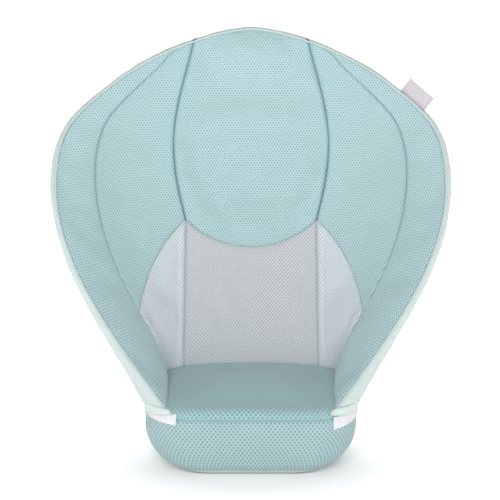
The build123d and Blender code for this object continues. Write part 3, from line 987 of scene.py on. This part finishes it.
def shell_of_rings(name, outer, inner, material, uv, shade, cap_top=False, cap_base=False):
    """Closed cover between outer and inner rings, with an optional closed middle."""
    rows, ring = outer.shape[:2]
    verts = np.concatenate([outer.reshape(-1, 3), inner.reshape(-1, 3)])
    shift = rows * ring
    faces = ring_faces(rows, ring) + [f[::-1] for f in ring_faces(rows, ring, shift)]
    for row, flip in ((0, False), (rows - 1, True)):
        if (row == 0 and cap_base) or (row and cap_top):
            continue
        for j in range(ring):
            k = (j + 1) % ring
            a = row * ring
            face = (a + j, shift + a + j, shift + a + k, a + k)
            faces.append(face[::-1] if flip else face)
    both = np.concatenate([uv.reshape(-1, 2)] * 2)
    gaps = np.concatenate([shade.ravel()] * 2)
    extra, extra_uv, extra_gap = [], [], []
    for row, on in ((0, cap_base), (rows - 1, cap_top)):
        if not on:
            continue
        for layer, base, flip in ((outer, 0, False), (inner, shift, True)):
            index = len(verts) + len(extra)
            extra.append(layer[row].mean(0))
            extra_uv.append(uv[row].mean(0))
            extra_gap.append(0.0)
            for j in range(ring):
                k = (j + 1) % ring
                tri = (base + row * ring + j, base + row * ring + k, index)
                faces.append(tri if flip == (row == 0) else tri[::-1])
    if extra:
        verts = np.concatenate([verts, extra])
        both = np.concatenate([both, extra_uv])
        gaps = np.concatenate([gaps, extra_gap])
    return new_piece(name, verts, faces, material, both, gaps)


def plan_run(points):
    run = run_along(points)
    return np.where(run > run[-1] / 2, run - run[-1] - np.linalg.norm(points[0] - points[-1]), run)


def profile_run(rings):
    """Length down the front from the middle of the ring stack's first row."""
    return run_along(rings[:, 0])


def cover_lift(rings, gap, groove, crown, amount=0.45):
    slope = grid_normals_closed(rings)
    lift = seam_profile(gap, groove, crown, 14.0)
    lift = lift + (1 - np.exp(-gap / 8)) * amount * waves(rings, 60.0)
    return rings + slope * lift[..., None]


def grid_normals_closed(rings):
    du = np.gradient(rings, axis=0)
    dv = (np.roll(rings, -1, 1) - np.roll(rings, 1, 1)) / 2
    n = unit(np.cross(dv, du))
    centre = rings.mean((0, 1))
    flip = np.sign(((rings - centre) * n).sum(-1).mean())
    return n * (flip if flip else 1)


def border_cover():
    zs = base_seam_z + (top_seam_z - base_seam_z) * eased(27, 0.6)
    rings = ring_stack(zs)
    run = profile_run(rings)
    gap = np.minimum(run, run[-1] - run)[:, None] + np.zeros(rings.shape[1])
    around = plan_run(ring_stack([top_seam_z])[0])
    uv = np.stack(np.meshgrid(run - run[-1], around, indexing="ij")[::-1], -1)
    outer = cover_lift(rings, gap, 0.9, 1.2)
    inner = ring_stack(zs, -seat_cover)
    # Painted shade darkens the border cloth towards its top and base seams
    piece = shell_of_rings("seat_border_cloth", outer, inner, border_mesh, uv, crease_painted_shade(gap, 0.35))
    dress(piece, "seat_border", "seat")


def top_rings(grow=0.0, steps=20):
    """Rings from the top seam over the rounded edge and in across the top."""
    zs = seat_high - (seat_high - top_seam_z) * (1 - np.linspace(0, 1, 15)) ** 1.6
    rings = ring_stack(zs, grow)
    edge = rings[-1]
    rows = list(rings)
    middle = np.array([0.0, -28.0, 0.0])
    for s in np.linspace(0, 1, steps + 1)[1:-1]:
        ring = edge + (middle - edge) * s
        ring[:, 2] = edge[:, 2]
        rows.append(ring)
    rows = np.array(rows)
    rise = crown_height(rows[..., 0], rows[..., 1])
    flat = np.arange(len(rows)) >= len(zs) - 1
    rows[..., 2] += np.where(flat[:, None], rise, 0)
    return rows, len(zs)


def top_cover():
    rings, edge_row = top_rings()
    run = profile_run(rings)
    gap = np.repeat(run[:, None], rings.shape[1], 1)
    outer = cover_lift(rings, np.minimum(gap, 200), 0.9, 1.0)
    inner, _ = top_rings(-seat_cover)
    edge = rings[edge_row - 1]
    normals = seat_ring(seat_high)[1]
    reach = np.maximum(run[edge_row - 1] - run, 0)
    flat = rings[..., :2].copy()
    flat[:edge_row] = edge[None, :, :2] + normals[None] * reach[:edge_row, None, None]
    shift = -(edge[0, 1] - run[edge_row - 1])
    uv = np.stack([flat[..., 0], flat[..., 1] + shift], -1)
    # Painted shade darkens the top cloth towards its seam
    piece = shell_of_rings("seat_top_cloth", outer, inner, top_shaded_mesh, uv, crease_painted_shade(gap, 0.35), cap_top=True)
    dress(piece, "seat_top_panel", "seat")


def base_cover():
    zs = np.array([0.0, 0.3, 0.9, 1.8, 3.0, 4.1, base_seam_z])
    rings = ring_stack(zs)
    inner_rows = []
    edge = rings[0]
    for s in 0.97 * np.linspace(1, 0, 12)[:-1]:
        inner_rows.append(edge * [1 - s, 1 - s, 0] - [0, 12 * s, 0])
    rows = np.concatenate([inner_rows, rings[1:]])
    run = profile_run(rows)
    gap = np.repeat((run[-1] - run)[:, None], rows.shape[1], 1)
    inner = rows * [0.985, 0.985, 1] + [0, 0, 3.4]
    uv = rows[..., :2]
    # Painted shade darkens the base cloth towards its seam
    piece = shell_of_rings("seat_base_cloth", rows, inner, pale_knit, uv, crease_painted_shade(gap, 0.4), cap_base=True)
    dress(piece, "seat_base_panel", "seat")


def seat_padding():
    zs = seat_high * eased(25, 0.6)
    rings = ring_stack(zs, -seat_cover - 1.0)
    verts = rings.reshape(-1, 3)
    ring = rings.shape[1]
    faces = ring_faces(len(zs), ring)
    faces.append(tuple(range(ring))[::-1])
    faces.append(tuple((len(zs) - 1) * ring + j for j in range(ring)))
    piece = new_piece("seat_padding", verts, faces, foam, verts[:, :2], np.zeros(len(verts)))
    dress(piece, "seat_foam", "seat")


def hook_tab(word, side, inner_x, inner_top, outer_top, inner_high, outer_high):
    """White hook tape laid round the seat's front corner under the shell's foot."""
    count, rows = 49, 13
    ring, _ = seat_ring(60.0, 0.4)
    keep = (ring[:, 0] > inner_x) & (ring[:, 1] < -64)
    run = run_along(ring[keep])
    share = np.linspace(0, 1, count)
    places = np.interp(share * run[-1], run, np.nonzero(keep)[0])
    low = np.floor(places).astype(int)
    frac = places - low
    top = inner_top + (outer_top - inner_top) * share
    high = inner_high + (outer_high - inner_high) * share
    outer, inner, uv = [], [], []
    for v in eased(rows, 0.6):
        line, normal = [], []
        for i, level in enumerate(top - high * (1 - v)):
            points, normals = seat_ring(float(level), 0.4)
            line.append(points[low[i]] * (1 - frac[i]) + points[low[i] + 1] * frac[i])
            normal.append([*normals[low[i]], 0.25])
        line, normal = np.array(line), unit(np.array(normal))
        fuzz = 0.22 * waves(line, 3.0, 12) + 0.35 * np.sin(share * run[-1] * 2.1)
        round_off = 1 - np.abs(2 * v - 1) ** 4
        ends = np.clip(np.minimum(share, 1 - share) * 24, 0, 1)
        thick = 0.5 + (1.3 + fuzz) * round_off * np.sqrt(ends)
        outer.append(line + normal * thick[:, None])
        inner.append(line)
        uv.append(np.stack([share * run[-1], v * high], -1))
    outer, inner = sided(side, np.array(outer), np.array(inner))
    piece = closed_panel(f"{word}_hook_tape", outer, inner, white_tape, np.array(uv),
                         np.zeros((rows, count)), side > 0)
    dress(piece, f"{word}_hook_tab", "shell")


def hinge_cord():
    x = np.linspace(-62, 62, 90)
    path = np.stack([x, 72.47 + 0 * x, 71.1 + 0 * x], -1)
    side, up = np.array([[0.0, 1, 0]] * 90), np.array([[0.0, 0, 1]] * 90)
    piece = tube("hinge_cord", path, side, up, 1.75, welt_fabric, 14, 1.0)
    dress(piece, "hinge_binding", "seat")


# Floor, light and camera
def floor():
    """White table that glows to stay white, and glows less right before the seat, which paints a shadow
    there.
    """
    material, tree, shader = nodes_of("pale_floor")
    web = Web(tree)
    place = web.add("ShaderNodeTexCoord").outputs["Object"]
    tone = web.mix(web.noise(place, 3.0), (0.9, 0.9, 0.9, 1), (0.92, 0.92, 0.92, 1))
    tree.links.new(tone, shader.inputs["Base Color"])
    shader.inputs["Roughness"].default_value = 0.9
    shader.inputs["Emission Color"].default_value = (1, 1, 1, 1)
    # The glow falls off towards the seat's front to paint its shadow on the floor
    reach = web.vector("MULTIPLY_ADD", place, (1 / 0.15, 1 / 0.075, 0), (0, 0.09 / 0.075, 0))
    glow = web.smooth(web.vector("LENGTH", reach), 0.3, 2.2, floor_glow_in_painted_shadow, floor_glow_far)
    tree.links.new(glow, shader.inputs["Emission Strength"])
    size = 30000.0
    corners = [(-size, -size, -0.2), (size, -size, -0.2), (size, size, -0.2), (-size, size, -0.2)]
    piece = new_piece("floor", corners, [(0, 1, 2, 3)], material)


def area_light(name, place, target, size, power):
    data = bpy.data.lights.new(name, "AREA")
    data.shape = "RECTANGLE"
    data.size, data.size_y = size
    data.energy = power
    lamp = bpy.data.objects.new(name, data)
    lamp.location = place
    lamp.rotation_euler = (Vector(target) - Vector(place)).to_track_quat("-Z", "Y").to_euler()
    bpy.context.collection.objects.link(lamp)


def studio():
    world = bpy.data.worlds.new("studio")
    world.use_nodes = True
    bpy.context.scene.world = world
    bpy.context.scene.view_settings.view_transform = "Standard"
    backdrop = world.node_tree.nodes["Background"]
    backdrop.inputs["Color"].default_value = (1, 1, 1, 1)
    backdrop.inputs["Strength"].default_value = sky_strength
    for name, (place, size, power) in lamps.items():
        area_light(name, place, (0, 0, 0.2), size, power)


def camera():
    data = bpy.data.cameras.new("camera")
    data.lens, data.sensor_width = 130.0, 36.0
    data.shift_x = -0.002
    holder = bpy.data.objects.new("camera", data)
    target, rise = Vector(camera_target), math.radians(camera_rise)
    place = target + camera_distance * Vector((0, -math.cos(rise), math.sin(rise)))
    turn = (target - place).to_track_quat("-Z", "Y")
    holder.location = place
    holder.rotation_euler = turn.to_euler()
    bpy.context.collection.objects.link(holder)
    bpy.context.scene.camera = holder


front_cover()
padding_and_rear()
strip, strip_length = rim_strip()
rim_welt()
label = side_label()
border_cover()
top_cover()
base_cover()
seat_padding()
for tape, shape in hook_tapes.items():
    hook_tab(tape, *shape)
hinge_cord()
floor()
studio()
camera()
